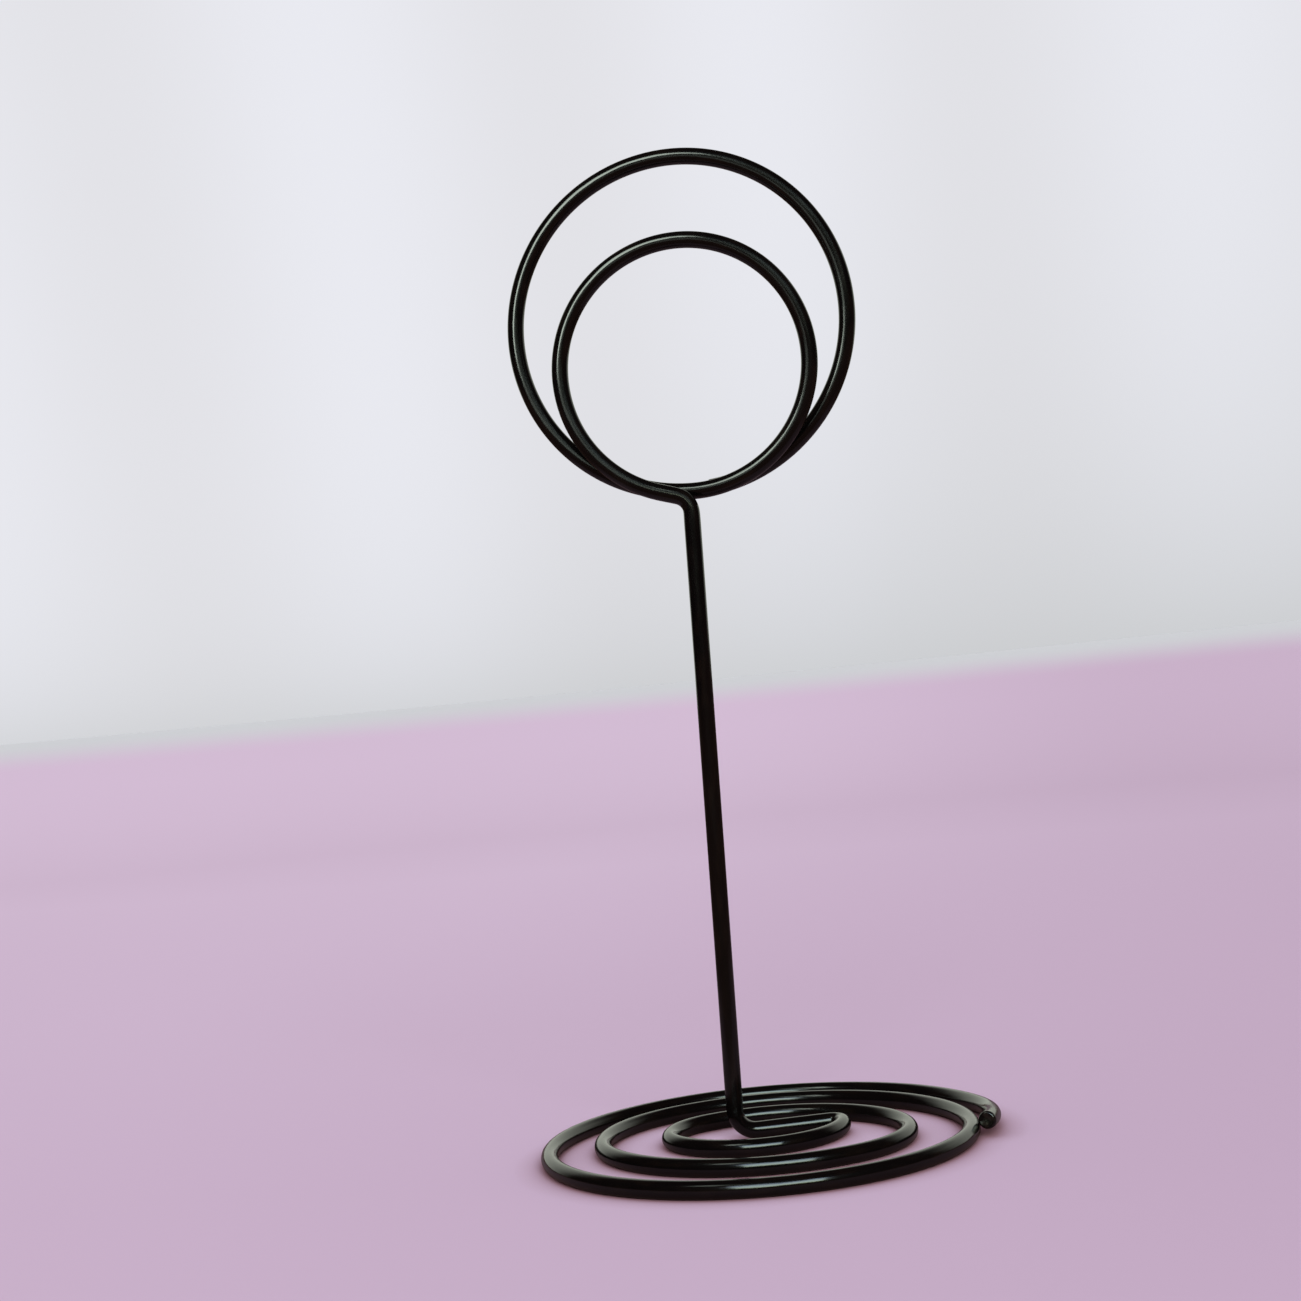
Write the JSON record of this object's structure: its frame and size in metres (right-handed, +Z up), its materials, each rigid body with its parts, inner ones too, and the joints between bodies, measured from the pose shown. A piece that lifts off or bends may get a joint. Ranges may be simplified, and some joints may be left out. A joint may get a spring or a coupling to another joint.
{
  "type": "memo clip holder",
  "caption": "Small desk holder bent from one steel wire: a flat coiled foot, a straight stem, and close-set rings that grip a card or note at the top.",
  "frame": {"origin": "on the table, under the middle of the coiled foot's outline", "axes": "+Z up along the stem, -Y towards the viewer of the card, +X to the viewer's right; the rings lie in planes near X-Z"},
  "size_m": [0.038, 0.0388, 0.0851],
  "materials": {
    "black_wire": "gloss black paint on bent steel wire"
  },
  "bodies": {
    "root": {"bent_wire": "black_wire"}
  },
  "joints": []
}
